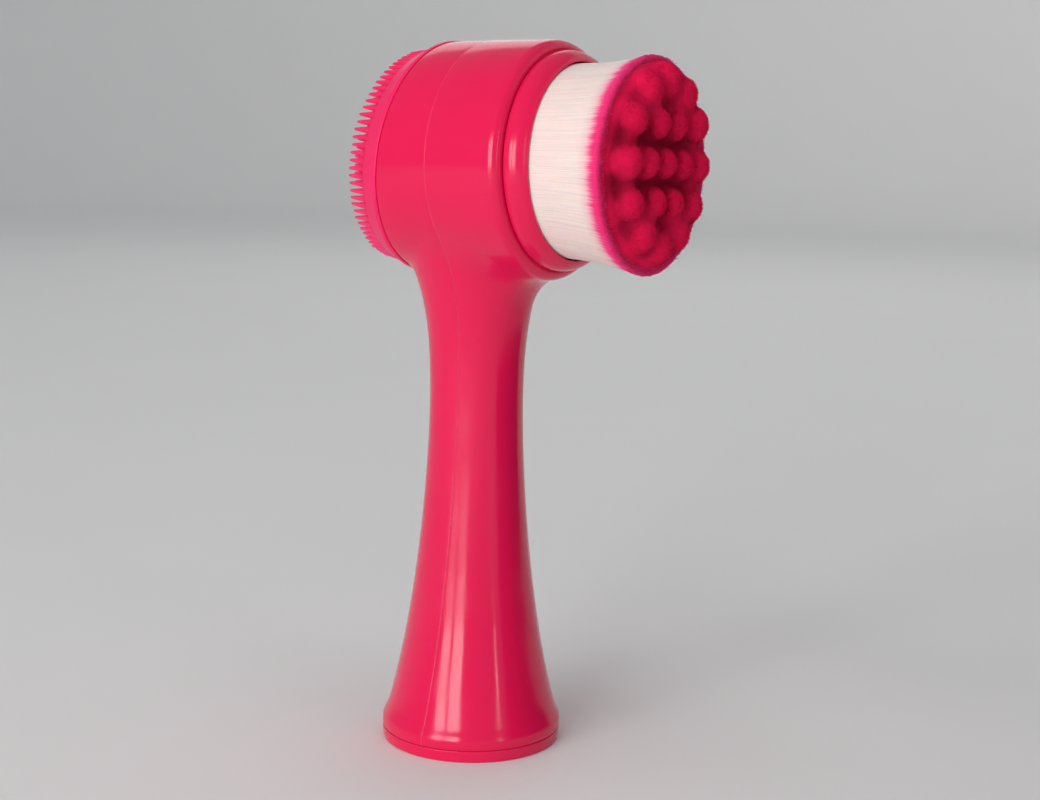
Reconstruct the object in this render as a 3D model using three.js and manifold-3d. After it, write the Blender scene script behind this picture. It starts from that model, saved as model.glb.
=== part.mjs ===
// A hand-held, two-sided facial cleansing brush that stands on its flared base.
// One end of the barrel holds a brush head with rounded fibre clusters.
// The other end holds a silicone pad with soft nubs.
// Millimetres, +Z up along the handle, +X along the barrel towards the brush.
// The origin is the centre of the flat underside of the base.

import * as THREE from "three";
import { mergeVertices } from "three/addons/utils/BufferGeometryUtils.js";
import Module from "manifold-3d";

const wasm = await Module();
wasm.setup();

// ---- driving dimensions ----
const HEIGHT = 155;
const BARREL_RADIUS = 25.2;
const BARREL_Z = HEIGHT - BARREL_RADIUS;
const GAP = 0.3; // clearance between separate pieces
const WALL = 2.2;
const SIDES = 36; // facets round a large turned piece

// handle: outer radius at each height, waisted in the middle and flared at both ends
const CAP_HEIGHT = 2.7;
const BASE_RADIUS = 20.1;
const HANDLE_OUTLINE = [
  [BASE_RADIUS, 5.2],
  [18.7, 9.5],
  [16.0, 20],
  [13.5, 35],
  [11.75, 50],
  [10.65, 65],
  [10.45, 80],
  [11.05, 92],
  [12.5, 100],
  [13.9, 104.2],
  [14.9, 108],
];
const NECK_TOP = [15.1, 112]; // radius and height, inside the barrel
const CAP_BORE_RADIUS = 17.4;
const CAP_BORE_DEPTH = 4.2;
const CAP_CHAMFER = 0.4;
const CAP_INSET = 0.1; // the cap's underside is this much smaller than the foot
const CAP_SKIRT = 1.5;
const CAP_PLATE = 2;
const BORE_TOP_Z = 90; // above this height the handle's bore narrows towards the neck
const NECK_BORE_SHOULDER = [6.5, 98];
const NECK_BORE_RADIUS = 4;
const NECK_BORE_Z = 104;

// front socket, and the collar of the brush cup that stands in front of it
const LIP_X = 21;
const LIP_ROUNDING = 2;
const SOCKET_RADIUS = 22.4;
const SOCKET_FLOOR_X = 8;
const CHAMBER_RADIUS = SOCKET_RADIUS + 0.4;
const BULKHEAD = 1.8;
const COLLAR_RADIUS = 23.5;
const COLLAR_ROUNDING = 4;
const COLLAR_EDGE = [0.3, 0.5]; // radius lost and distance from the shoulder at the collar's back edge
const COLLAR_BACK_STEP = 1;
const COLLAR_CREST = 0.9; // from the shoulder to the collar's widest place
const COLLAR_MOUTH_ANGLE = 26;
const CUP_BORE_RADIUS = 21.2;
const CUP_FLOOR = 1.8;
const CUP_FLOOR_X = SOCKET_FLOOR_X + GAP + CUP_FLOOR;
const CUP_RIBS = 6;
const CUP_RIB_LENGTH = 10;
const CUP_RIB_WIDTH = 1.2;
const CUP_RIB_DEPTH = 0.3; // how far a rib stands above the spigot
const CUP_RIB_TURN = 0.3;

// fibres: a bundle that flares towards its tips, with rounded clusters that stand above it
const POTTING = 2.8; // thickness of the resin that holds the roots
const ROOT_X = CUP_FLOOR_X + GAP + POTTING + GAP;
const RIM_X = 42.9;
const RIM_RADIUS = 22.3;
const ROOT_RADIUS = 19.8;
const RIM_LIP = 0.3; // the rim's inner fibres stand this much above its outer ones
const RIM_WIDTH = 1.6;
const INFILL_DROP = 1.6; // the face between the clusters lies below the rim
const CLUSTER_RADIUS = 3.75;
const CLUSTER_SHAFT_RADIUS = 3.4;
const CLUSTER_CENTRE_X = 43.6; // where the shaft ends and the dome starts
const CLUSTER_NECK_X = RIM_X + 0.6; // where the shaft has widened to the dome
const CLUSTER_SIDES = 10;
const CLUSTER_RINGS = [
  { count: 1, across: 0, up: 0 },
  { count: 6, across: 8.0, up: 8.5 },
  { count: 12, across: 16.0, up: 17.1 },
];

// rear pad: its plane leans forwards at the top, so that it faces slightly upwards
const PAD_LEAN = THREE.MathUtils.degToRad(7.4);
const PAD_X = -9.1;
const PAD_RADIUS = 25.05;
const PAD_EDGE_RADIUS = 23.5;
const PAD_DEPTH = 5;
const PAD_SKIN = 1.8;
const PAD_EDGE_ROUNDING = [[0.1, 1.1], [-0.25, 0.3], [-0.8, 0]]; // radius gained and depth lost
const PAD_HOOK = 0.8; // a groove inside the pad snaps over the carrier's rim
const PAD_HOOK_WIDTH = 1.3;
const PAD_RECESS_RADIUS = 22.5;
const PAD_RECESS_DEPTH = 5.6;
const CARRIER_WALL = 1.6;
const CARRIER_HOOK_WIDTH = 0.7;
const HOOK_SLOPE = 0.2;
const NUB_LENGTH = 4.1;
const NUB_ROOT = 0.5; // how far a nub reaches into the pad
const NUB_RINGS = 10;
const NUB_RING_RADIUS = 22.6;
const NUB_RING_PITCH = 2.5;
const NUB_PITCH = 2.7;
const OUTER_NUBS = 87;
const OUTER_NUB_RADIUS = 0.7;
const INNER_NUB_RADIUS = 0.95;

// the parting plane between the two half shells, which runs down both sides of the handle
const PARTING_BASE_X = 0.6;
const PARTING_HEAD_X = 3.3;
const PIN_RADIUS = 1.4;
const PIN_REACH = 3;
const BARREL_PIN_REACH = 2;
const BARREL_PIN_ROOT_X = -1; // in the bulkhead behind the pad
const BOSS_RADIUS = 3;
const BOSS_SET_BACK = 0.4; // from the parting plane
const PIN_EMBED = 1; // how far a pin or boss reaches into the wall that carries it
const PIN_HEIGHTS = [24, 52, 80];
const BARREL_PIN_Z = BARREL_Z + 15;

const BEYOND = 60; // larger than any radius of the brush, for pieces that only cut

// ---- materials ----
const plastic = (name, color, roughness) =>
  new THREE.MeshStandardMaterial({ name, color, roughness, metalness: 0 });
const shellPlastic = plastic("shell_plastic", 0xea1f58, 0.22);
const cupPlastic = plastic("cup_plastic", 0xea1f58, 0.25);
const silicone = plastic("silicone", 0xfb2a6d, 0.5);
const paleFibre = plastic("pale_fibre", 0xf6ddd6, 0.8);
const dyedFibre = plastic("dyed_fibre", 0xd01443, 0.9);
const resin = plastic("resin", 0xe8e0cf, 0.4);

// ---- solids ----

// A geometry as a solid with its faces pointing out.
function solidOf(geometry) {
  const bare = geometry.clone();
  bare.deleteAttribute("normal");
  bare.deleteAttribute("uv");
  const merged = mergeVertices(bare, 1e-4);
  const corners = merged.index.array;
  const faces = [];
  for (let i = 0; i < corners.length; i += 3) {
    const [a, b, c] = corners.slice(i, i + 3);
    if (a !== b && b !== c && c !== a) faces.push([a, b, c]);
  }
  const made = (list) =>
    new wasm.Manifold(
      new wasm.Mesh({
        numProp: 3,
        vertProperties: merged.attributes.position.array,
        triVerts: new Uint32Array(list.flat()),
      }),
    );
  const solid = made(faces);
  return solid.volume() > 0 ? solid : made(faces.map(([a, b, c]) => [a, c, b]));
}

function geometryOf(solid) {
  const mesh = solid.getMesh();
  return new THREE.BufferGeometry()
    .setAttribute("position", new THREE.BufferAttribute(mesh.vertProperties, 3))
    .setIndex(new THREE.BufferAttribute(mesh.triVerts, 1));
}

// A solid turned round Z from [radius, height] pairs that start and end on the axis.
function turned(outline, sides = SIDES) {
  const points = outline.map(([radius, height]) => new THREE.Vector2(radius, height));
  return new THREE.LatheGeometry(points, sides).rotateX(Math.PI / 2);
}

// A solid turned round the barrel's axis from [radius, x] pairs.
function turnedOnBarrel(outline, sides = SIDES) {
  return turned(outline, sides).rotateY(Math.PI / 2).translate(0, 0, BARREL_Z);
}

function rodOnX(radius, fromX, toX, y, z, sides = 12) {
  return turned([[0, fromX], [radius, fromX], [radius, toX], [0, toX]], sides)
    .rotateY(Math.PI / 2)
    .translate(0, y, z);
}

// Points of a quarter turn from angle a to angle b, in degrees, as [radius, x] pairs.
function arc(centreRadius, centreX, size, a, b, steps = 4) {
  return Array.from({ length: steps + 1 }, (_, i) => {
    const angle = THREE.MathUtils.degToRad(a + ((b - a) * i) / steps);
    return [centreRadius + size * Math.sin(angle), centreX + size * Math.cos(angle)];
  });
}

function smoothOutline(pairs, steps) {
  const curve = new THREE.SplineCurve(pairs.map(([r, z]) => new THREE.Vector2(r, z)));
  return curve.getPoints(steps).map((p) => [p.x, p.y]);
}

// A geometry whose +Z points out of the pad, put in its place at the rear of the barrel.
// It leans with the pad: what is higher up stands further forwards, and a round section stays round.
function atPad(geometry) {
  const lean = new THREE.Matrix4().makeShear(0, 0, 0, 0, Math.tan(PAD_LEAN), 0);
  return geometry
    .rotateY(-Math.PI / 2)
    .applyMatrix4(lean)
    .translate(PAD_X, 0, BARREL_Z);
}

function partingX(z) {
  return PARTING_BASE_X + ((PARTING_HEAD_X - PARTING_BASE_X) * z) / BARREL_Z;
}

// ---- body: two half shells and a base cap ----

function handleOuter() {
  const outline = smoothOutline(HANDLE_OUTLINE, 16);
  const foot = CAP_HEIGHT + GAP;
  return solidOf(
    turned([[0, foot], [BASE_RADIUS, foot], ...outline, NECK_TOP, [0, NECK_TOP[1]]]),
  );
}

function handleBore() {
  const capBoreTop = CAP_HEIGHT + GAP + CAP_BORE_DEPTH;
  const chamberFloor = BARREL_Z - CHAMBER_RADIUS + WALL;
  const thinned = smoothOutline(HANDLE_OUTLINE, 16)
    .filter(([, z]) => z > capBoreTop + WALL && z < BORE_TOP_Z)
    .map(([radius, z]) => [radius - WALL, z]);
  return solidOf(
    turned([
      [0, 0],
      [CAP_BORE_RADIUS, 0],
      [CAP_BORE_RADIUS, capBoreTop],
      ...thinned,
      NECK_BORE_SHOULDER,
      [NECK_BORE_RADIUS, NECK_BORE_Z],
      [NECK_BORE_RADIUS, chamberFloor],
      [0, chamberFloor],
    ], 28),
  );
}

function barrelOuter() {
  const rounding = arc(BARREL_RADIUS - LIP_ROUNDING, LIP_X - LIP_ROUNDING, LIP_ROUNDING, 90, 0);
  const rearX = PAD_X - BEYOND;
  const barrel = solidOf(turnedOnBarrel([[0, rearX], [BARREL_RADIUS, rearX], ...rounding, [0, LIP_X]]));
  return barrel.subtract(padSideOf(0));
}

// Everything outwards of a depth in the pad, for cutting.
function padSideOf(depth) {
  const far = 2 * BEYOND;
  return solidOf(atPad(turned([[0, depth], [BEYOND, depth], [BEYOND, far], [0, far]], 8)));
}

// The space between the two bulkheads inside the barrel.
function barrelChamber() {
  const frontX = SOCKET_FLOOR_X - BULKHEAD;
  const chamber = turnedOnBarrel([
    [0, -BEYOND],
    [CHAMBER_RADIUS, -BEYOND],
    [CHAMBER_RADIUS, frontX],
    [0, frontX],
  ]);
  return solidOf(chamber).subtract(padSideOf(-(PAD_RECESS_DEPTH + BULKHEAD)));
}

function body() {
  const socket = solidOf(turnedOnBarrel([
    [0, SOCKET_FLOOR_X],
    [SOCKET_RADIUS, SOCKET_FLOOR_X],
    [SOCKET_RADIUS, BEYOND],
    [0, BEYOND],
  ]));
  const recess = solidOf(atPad(turned([
    [0, -PAD_RECESS_DEPTH],
    [PAD_RECESS_RADIUS, -PAD_RECESS_DEPTH],
    [PAD_RECESS_RADIUS, BEYOND],
    [0, BEYOND],
  ])));
  const padRoom = BARREL_RADIUS + GAP;
  const padSpace = solidOf(atPad(turned([[0, 0], [padRoom, 0], [padRoom, BEYOND], [0, BEYOND]])));
  return handleOuter()
    .subtract(padSpace)
    .add(barrelOuter())
    .subtract(handleBore())
    .subtract(barrelChamber())
    .subtract(socket)
    .subtract(recess);
}

// Everything on one side of the parting plane: side is 1 for the brush side and -1 for the pad side.
function sideOfParting(side) {
  const size = 3 * HEIGHT;
  const tilt = Math.atan2(PARTING_HEAD_X - PARTING_BASE_X, BARREL_Z);
  const block = new THREE.BoxGeometry(size, size, size)
    .translate((side * (size + GAP)) / 2, 0, 0)
    .rotateY(tilt)
    .translate(PARTING_BASE_X, 0, 0);
  return solidOf(block);
}

const whole = body();

function halfShell(side) {
  return whole.intersect(sideOfParting(side));
}

// Locating pins of the rear half slide into the bosses of the front half.
function rearShell() {
  let shell = halfShell(-1);
  for (const z of PIN_HEIGHTS) {
    const pin = rodOnX(PIN_RADIUS, PIN_EMBED - handleRadius(z), partingX(z) + PIN_REACH, 0, z);
    shell = shell.add(solidOf(pin));
  }
  const tipX = partingX(BARREL_PIN_Z) + BARREL_PIN_REACH;
  return shell.add(solidOf(rodOnX(PIN_RADIUS, BARREL_PIN_ROOT_X, tipX, 0, BARREL_PIN_Z)));
}

function frontShell() {
  const places = PIN_HEIGHTS.map((z) => [z, handleRadius(z) - PIN_EMBED]);
  places.push([BARREL_PIN_Z, SOCKET_FLOOR_X - PIN_EMBED]);
  let shell = halfShell(1);
  for (const [z, toX] of places) {
    shell = shell.add(solidOf(rodOnX(BOSS_RADIUS, partingX(z) + BOSS_SET_BACK, toX, 0, z)));
    const hole = rodOnX(PIN_RADIUS + GAP, partingX(z), partingX(z) + PIN_REACH + GAP, 0, z);
    shell = shell.subtract(solidOf(hole));
  }
  return shell;
}

function handleRadius(z) {
  const i = HANDLE_OUTLINE.findIndex(([, height]) => height > z);
  const [r1, z1] = HANDLE_OUTLINE[i - 1];
  const [r2, z2] = HANDLE_OUTLINE[i];
  return r1 + ((r2 - r1) * (z - z1)) / (z2 - z1);
}

function baseCap() {
  const skirt = CAP_BORE_RADIUS - GAP;
  const top = CAP_HEIGHT + CAP_BORE_DEPTH;
  return solidOf(turned([
    [0, 0],
    [BASE_RADIUS - CAP_INSET - CAP_CHAMFER, 0],
    [BASE_RADIUS - CAP_INSET, CAP_CHAMFER],
    [BASE_RADIUS, CAP_HEIGHT],
    [skirt, CAP_HEIGHT],
    [skirt, top],
    [skirt - CAP_SKIRT, top],
    [skirt - CAP_SKIRT, CAP_PLATE],
    [0, CAP_PLATE],
  ]));
}

// ---- brush head ----

function brushCup() {
  const spigot = SOCKET_RADIUS - 2 * GAP;
  const back = SOCKET_FLOOR_X + GAP;
  const shoulderX = LIP_X + GAP;
  const crestX = shoulderX + COLLAR_CREST;
  const [edgeLoss, edgeX] = COLLAR_EDGE;
  const bead = arc(COLLAR_RADIUS - COLLAR_ROUNDING, crestX, COLLAR_ROUNDING, 90, COLLAR_MOUTH_ANGLE, 6);
  const mouthX = bead.at(-1)[1];
  let cup = solidOf(turnedOnBarrel([
    [0, back],
    [spigot, back],
    [spigot, shoulderX],
    [COLLAR_RADIUS - COLLAR_BACK_STEP, shoulderX],
    [COLLAR_RADIUS - edgeLoss, shoulderX + edgeX],
    ...bead,
    [CUP_BORE_RADIUS, mouthX],
    [fibreRadius(CUP_FLOOR_X) + GAP, CUP_FLOOR_X],
    [0, CUP_FLOOR_X],
  ]));
  for (let i = 0; i < CUP_RIBS; i++) {
    const angle = (2 * Math.PI * i) / CUP_RIBS + CUP_RIB_TURN;
    const rib = new THREE.BoxGeometry(CUP_RIB_LENGTH, CUP_RIB_WIDTH, CUP_RIB_WIDTH)
      .translate((back + shoulderX) / 2, 0, spigot + CUP_RIB_DEPTH - CUP_RIB_WIDTH / 2)
      .rotateX(angle)
      .translate(0, 0, BARREL_Z);
    cup = cup.add(solidOf(rib));
  }
  return cup;
}

// Outer radius of the fibre bundle, which fans out from its roots to its rim.
function fibreRadius(x) {
  return ROOT_RADIUS + ((RIM_RADIUS - ROOT_RADIUS) * (x - ROOT_X)) / (RIM_X - ROOT_X);
}

function pottingDisc() {
  const fromX = CUP_FLOOR_X + GAP;
  const radius = ROOT_RADIUS - GAP;
  const toX = fromX + POTTING;
  return solidOf(turnedOnBarrel([[0, fromX], [radius, fromX], [radius, toX], [0, toX]]));
}

// A geometry turned round the barrel's axis and moved to [y, z] at the rim.
// It leans outwards, as the bundle fans out.
function inBundle(outline, y, z) {
  const fan = (1 - ROOT_RADIUS / RIM_RADIUS) / (RIM_X - ROOT_X);
  const lean = new THREE.Matrix4().set(
    1, 0, 0, 0,
    fan * y, 1, 0, y * (1 - fan * RIM_X),
    fan * z, 0, 1, z * (1 - fan * RIM_X),
    0, 0, 0, 1,
  );
  return turned(outline, CLUSTER_SIDES)
    .rotateY(Math.PI / 2)
    .applyMatrix4(lean)
    .translate(0, 0, BARREL_Z);
}

// A shaft of fibres that widens above the face into a dome.
function cluster(y, z) {
  const shaftTopX = RIM_X - INFILL_DROP;
  const outline = [
    [0, ROOT_X],
    [CLUSTER_SHAFT_RADIUS, ROOT_X],
    [CLUSTER_SHAFT_RADIUS, shaftTopX],
    [CLUSTER_RADIUS, CLUSTER_NECK_X],
    ...arc(0, CLUSTER_CENTRE_X, CLUSTER_RADIUS, 90, 0, 4),
  ];
  return solidOf(inBundle(outline, y, z));
}

// The hole in the bundle that a cluster's shaft stands in.
function clusterHole(y, z) {
  const radius = CLUSTER_SHAFT_RADIUS + GAP;
  const fromX = ROOT_X - 1;
  return solidOf(inBundle([[0, fromX], [radius, fromX], [radius, RIM_X], [0, RIM_X]], y, z));
}

const clusterPlaces = CLUSTER_RINGS.flatMap(({ count, across, up }) =>
  Array.from({ length: count }, (_, i) => {
    const angle = (2 * Math.PI * i) / count;
    return [across * Math.cos(angle), up * Math.sin(angle)];
  }),
);

function fibreBundle() {
  const faceX = RIM_X - INFILL_DROP;
  let bundle = solidOf(turnedOnBarrel([
    [0, ROOT_X],
    [ROOT_RADIUS, ROOT_X],
    [RIM_RADIUS, RIM_X],
    [RIM_RADIUS - RIM_WIDTH / 2, RIM_X + RIM_LIP],
    [RIM_RADIUS - RIM_WIDTH, faceX],
    [0, faceX],
  ]));
  for (const [y, z] of clusterPlaces) {
    bundle = bundle.subtract(clusterHole(y, z));
  }
  return bundle;
}

// ---- silicone pad and its carrier: outlines are [radius, depth outwards from the seam] ----

// The nubs of one ring, counted inwards from the edge: the edge has a closer row of finer nubs.
function nubRing(ring) {
  const radius = NUB_RING_RADIUS - ring * NUB_RING_PITCH;
  const count = ring ? Math.max(1, Math.round((2 * Math.PI * radius) / NUB_PITCH)) : OUTER_NUBS;
  return Array.from({ length: count }, (_, i) => {
    const cone = new THREE.ConeGeometry(ring ? INNER_NUB_RADIUS : OUTER_NUB_RADIUS, NUB_LENGTH + NUB_ROOT, 3)
      .rotateX(Math.PI / 2)
      .rotateZ(Math.PI / 6)
      .translate(radius, 0, PAD_DEPTH + (NUB_LENGTH - NUB_ROOT) / 2)
      .rotateZ((2 * Math.PI * (i + 0.5 * (ring % 2))) / count);
    return solidOf(atPad(cone));
  });
}

function siliconePad() {
  const underside = PAD_DEPTH - PAD_SKIN;
  const groove = PAD_RECESS_RADIUS + PAD_HOOK;
  const edge = PAD_EDGE_ROUNDING.map(([gained, lost]) => [PAD_EDGE_RADIUS + gained, PAD_DEPTH - lost]);
  const pad = solidOf(atPad(turned([
    [0, underside],
    [groove, underside],
    [groove, underside - PAD_HOOK_WIDTH],
    [PAD_RECESS_RADIUS, underside - PAD_HOOK_WIDTH - HOOK_SLOPE],
    [PAD_RECESS_RADIUS, GAP],
    [PAD_RADIUS, GAP],
    ...edge,
    [0, PAD_DEPTH],
  ])));
  const nubs = Array.from({ length: NUB_RINGS }, (_, ring) => nubRing(ring)).flat();
  return wasm.Manifold.union([pad, ...nubs]);
}

function padCarrier() {
  const hub = PAD_RECESS_RADIUS - GAP;
  const face = PAD_DEPTH - PAD_SKIN - GAP;
  const back = -PAD_RECESS_DEPTH + 2 * GAP;
  return solidOf(atPad(turned([
    [0, face],
    [hub + PAD_HOOK, face],
    [hub + PAD_HOOK, face - CARRIER_HOOK_WIDTH],
    [hub, face - CARRIER_HOOK_WIDTH - HOOK_SLOPE],
    [hub, back],
    [hub - CARRIER_WALL, back],
    [hub - CARRIER_WALL, face - CARRIER_WALL],
    [0, face - CARRIER_WALL],
  ])));
}

// ---- assembly ----

const brush = new THREE.Group();

function addPiece(name, solid, material) {
  const mesh = new THREE.Mesh(geometryOf(solid), material);
  mesh.name = name;
  brush.add(mesh);
}

addPiece("front_shell", frontShell(), shellPlastic);
addPiece("rear_shell", rearShell(), shellPlastic);
addPiece("base_cap", baseCap(), shellPlastic);
addPiece("brush_cup", brushCup(), cupPlastic);
addPiece("potting_disc", pottingDisc(), resin);
addPiece("fibre_bundle", fibreBundle(), paleFibre);
clusterPlaces.forEach(([y, z], i) => {
  const name = "fibre_cluster_" + String(i + 1).padStart(2, "0");
  addPiece(name, cluster(y, z), dyedFibre);
});
addPiece("silicone_pad", siliconePad(), silicone);
addPiece("pad_carrier", padCarrier(), cupPlastic);

export default brush;
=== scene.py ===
"""The visible model of a two-sided cleansing brush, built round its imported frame."""

import math

import bmesh
import bpy
import numpy as np
from bpy.props import FloatProperty, FloatVectorProperty, IntProperty, PointerProperty
from mathutils import Matrix, Vector


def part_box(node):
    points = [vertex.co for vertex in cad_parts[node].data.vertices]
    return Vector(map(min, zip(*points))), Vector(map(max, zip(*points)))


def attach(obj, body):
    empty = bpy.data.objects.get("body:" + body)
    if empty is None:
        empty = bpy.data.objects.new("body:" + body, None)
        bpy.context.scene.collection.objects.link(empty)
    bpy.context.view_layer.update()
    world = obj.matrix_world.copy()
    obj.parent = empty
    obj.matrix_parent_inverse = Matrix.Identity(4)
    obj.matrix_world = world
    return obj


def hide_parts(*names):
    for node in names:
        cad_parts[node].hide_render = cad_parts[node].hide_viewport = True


bl_info = {
    "name": "Cleansing Brush",
    "version": (1, 0, 0),
    "blender": (4, 5, 0),
    "location": "3D View > Sidebar > Cleansing Brush",
    "description": "Builds a two-sided cleansing brush with a fibre head and a silicone pad",
    "category": "Add Mesh",
}

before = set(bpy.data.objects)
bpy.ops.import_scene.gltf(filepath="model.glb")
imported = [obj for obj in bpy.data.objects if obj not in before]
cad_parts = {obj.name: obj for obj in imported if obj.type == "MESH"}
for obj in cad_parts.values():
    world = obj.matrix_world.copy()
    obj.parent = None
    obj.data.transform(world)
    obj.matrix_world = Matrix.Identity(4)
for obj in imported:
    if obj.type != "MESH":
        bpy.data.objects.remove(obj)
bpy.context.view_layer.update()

MM = 0.001
_, shell_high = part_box("front_shell")
cup_low, cup_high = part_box("brush_cup")
bundle_low, bundle_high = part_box("fibre_bundle")
_, cap_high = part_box("base_cap")
CLUSTERS = sorted(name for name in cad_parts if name.startswith("fibre_cluster_"))
BARREL_AXIS = shell_high.z - shell_high.y

# the handle's radius in millimetres: a waist, a flare towards each end, and a bell that thickens the foot
WAIST = 7.69
FOOT_FLARE, FOOT_FALL = 13.37, 41.5
NECK_FLARE, NECK_HEIGHT, NECK_RISE = 4.91, 104, 12.5
BELL, BELL_HEIGHT = 0.9, 3

# the fillet between handle and barrel
FILLET_LEAST = 0.7 * MM
FILLET_FRONT = 5.4 * MM
FILLET_PULL = 0.62

# walls and clearances inside the mouldings
BULKHEAD = 1.8 * MM
SOCKET_WALL = 2.8 * MM
RECESS_WALL = 2.4 * MM
SOCKET_PLAY = 0.3 * MM
CAP_STEP = 3.1 * MM
CAP_SKIRT = 1.5 * MM
CAP_PLATE = 0.7 * MM
CUP_FLOOR = 2 * MM
CUP_BORE = 19.8 * MM
CUP_BEAD = 3.9 * MM
CUP_SHOULDER = 0.25 * MM
SPIGOT_STEP = 3.4 * MM
RIB_COUNT, RIB_TURN, RIB_HEIGHT = 6, 0.3, 0.3 * MM
CARRIER_WALL = 1.6 * MM

# the fibres
FIBRE_INSET = 2.75 * MM
TUFT_DEPTH = 4 * MM
RIM_ROUNDING = 0.9 * MM
DOME_HEIGHT = 1.04
FIBRE_FINISH = "brush_fibres"

# tints that the finishes mix into the chosen colours
SCUFF = (1.0, 0.55, 0.62)
# the next tint is a painted highlight, the pale line along the parting plane
PAINTED_PARTING_HIGHLIGHT = (0.95, 0.22, 0.34)
BLUSH = (0.95, 0.32, 0.46)
BLEED = (1.0, 0.035, 0.24)
LIT_TIP = (0.96, 0.026, 0.15)
NUB_TIP = (0.90, 0.075, 0.25)
DUST = (1.0, 0.55, 0.66)
# the next tint is painted shade, nearly black, for the valleys between the domes
PAINTED_VALLEY_SHADE = (0.11, 0.0006, 0.004)
VELVET = (0.95, 0.03, 0.13)


# ---- sizes and colours that a user would change ----


def length(name, description, default):
    return FloatProperty(name=name, description=description, default=default, unit="LENGTH", precision=5)


def tilt(name, description, degrees):
    return FloatProperty(name=name, description=description, default=math.radians(degrees), subtype="ANGLE")


def ratio(name, description, default):
    return FloatProperty(name=name, description=description, default=default, subtype="FACTOR", soft_max=2)


def colour(name, description, default):
    return FloatVectorProperty(
        name=name, description=description, default=default, subtype="COLOR", size=3, min=0, max=1
    )


class BodySizes(bpy.types.PropertyGroup):
    barrel_radius: length("Barrel radius", "Outside radius of the barrel", shell_high.y)
    barrel_height: length("Barrel height", "Height of the barrel's axis", BARREL_AXIS)
    lip_x: length("Lip", "How far the front of the barrel stands from the handle's axis", shell_high.x)
    lip_rounding: length("Lip rounding", "Radius of the barrel's front edge", 2.2 * MM)
    foot_radius: length("Foot radius", "Largest radius of the foot", cap_high.y)
    cap_height: length("Cap height", "Height of the seam above the base cap", 2.7 * MM)
    wall: length("Wall", "Thickness of the moulded wall", 2.2 * MM)
    barrel_step: length("Barrel step", "How much smaller the rear half's barrel is", 0.14 * MM)
    seam: length("Seam", "Half of the gap between neighbouring pieces", 0.03 * MM)
    parting_gap: length("Parting gap", "Half of the gap between the two half shells", 0.008 * MM)
    edge: length("Edge rounding", "Radius of the moulded edges along the seams", 0.10 * MM)
    parting_base_x: length("Parting at base", "Where the parting plane meets the table", 0.6 * MM)
    parting_head_x: length("Parting at barrel", "Where the parting plane meets the barrel's axis", 3.3 * MM)
    pad_x: length("Pad seam", "Where the pad's seam crosses the barrel's axis", -9.1 * MM)
    pad_lean: tilt("Pad lean", "How far the pad leans forwards at the top", 7.4)


class BrushHeadSizes(bpy.types.PropertyGroup):
    collar_radius: length("Collar radius", "Outside radius of the collar", cup_high.y - 0.45 * MM)
    collar_x: length("Collar front", "Front of the collar", cup_high.x)
    rim_radius: length("Rim radius", "Radius of the outer fibres at their tips", bundle_high.y + 0.30 * MM)
    rim_x: length("Rim", "Where the outer fibres end", bundle_high.x - 0.3 * MM)
    dye_x: length("Dye line", "Where the dyed tips of the fibres begin", 40.4 * MM)
    droop: length("Droop", "How far the fibres hang at their tips", 0.35 * MM)
    pattern_turn: tilt("Dome turn", "Turn of the domes round the barrel's axis", -2.5)
    pattern_rise: length("Dome rise", "How far the domes stand above the barrel's axis", 0.6 * MM)
    pattern_stretch: ratio("Dome stretch", "Upward stretch of the rings", 1.03)
    outer_dome: length("Outer dome radius", "Radius of the domes in the outer ring", 4.0 * MM)
    inner_dome: length("Inner dome radius", "Radius of the domes inside the outer ring", 3.3 * MM)
    skirt_fibres: IntProperty(name="Loose fibres", description="Single fibres on the skirt", default=2600)
    dome_fibres: IntProperty(name="Dome fibres", description="Single fibre tips on each dome", default=900)


class PadSizes(bpy.types.PropertyGroup):
    depth: length("Skirt depth", "Depth of the pad's smooth skirt", 5.0 * MM)
    seam_radius: length("Seam radius", "Radius of the skirt at the seam", 25.1 * MM)
    edge_radius: length("Edge radius", "Radius of the skirt at the face", 23.4 * MM)
    recess_radius: length("Recess radius", "Radius of the recess behind the pad", 22.5 * MM)
    recess_depth: length("Recess depth", "Depth of the recess behind the pad", 5.6 * MM)
    nub_length: length("Nub length", "Length of a nub", 4.1 * MM)
    nub_radius: length("Nub radius", "Radius of a nub at its foot", 0.78 * MM)
    nub_pitch: length("Nub pitch", "Distance between neighbouring nubs", 1.63 * MM)


class Finishes(bpy.types.PropertyGroup):
    plastic: colour("Plastic", "Colour of the glossy mouldings", (0.83, 0.0075, 0.085))
    silicone: colour("Silicone", "Colour of the pad", (0.93, 0.017, 0.135))
    pale_fibre: colour("Pale fibre", "Colour of the fibres below the dye", (0.93, 0.76, 0.72))
    dyed_fibre: colour("Dyed fibre", "Colour of the fibre tips", (0.87, 0.009, 0.085))
    floor: colour("Floor", "Colour of the floor", (0.87, 0.87, 0.87))


class StageSizes(bpy.types.PropertyGroup):
    distance: length("Camera distance", "From the camera to the aim height on the handle's axis", 0.3904)
    aim_height: length("Aim height", "Height that the camera is set up from", 0.080)
    azimuth: tilt("Azimuth", "Camera's turn round the object", 34.56)
    elevation: tilt("Elevation", "Camera's height as an angle", 8.54)
    yaw: tilt("Yaw", "Camera's aim to the side", 1.41)
    pitch: tilt("Pitch", "Camera's aim upwards", -0.44)
    roll: tilt("Roll", "Camera's roll", 1.01)
    lens: FloatProperty(name="Lens", description="Focal length in millimetres", default=61.05, min=1)


# ---- surfaces ----


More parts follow.
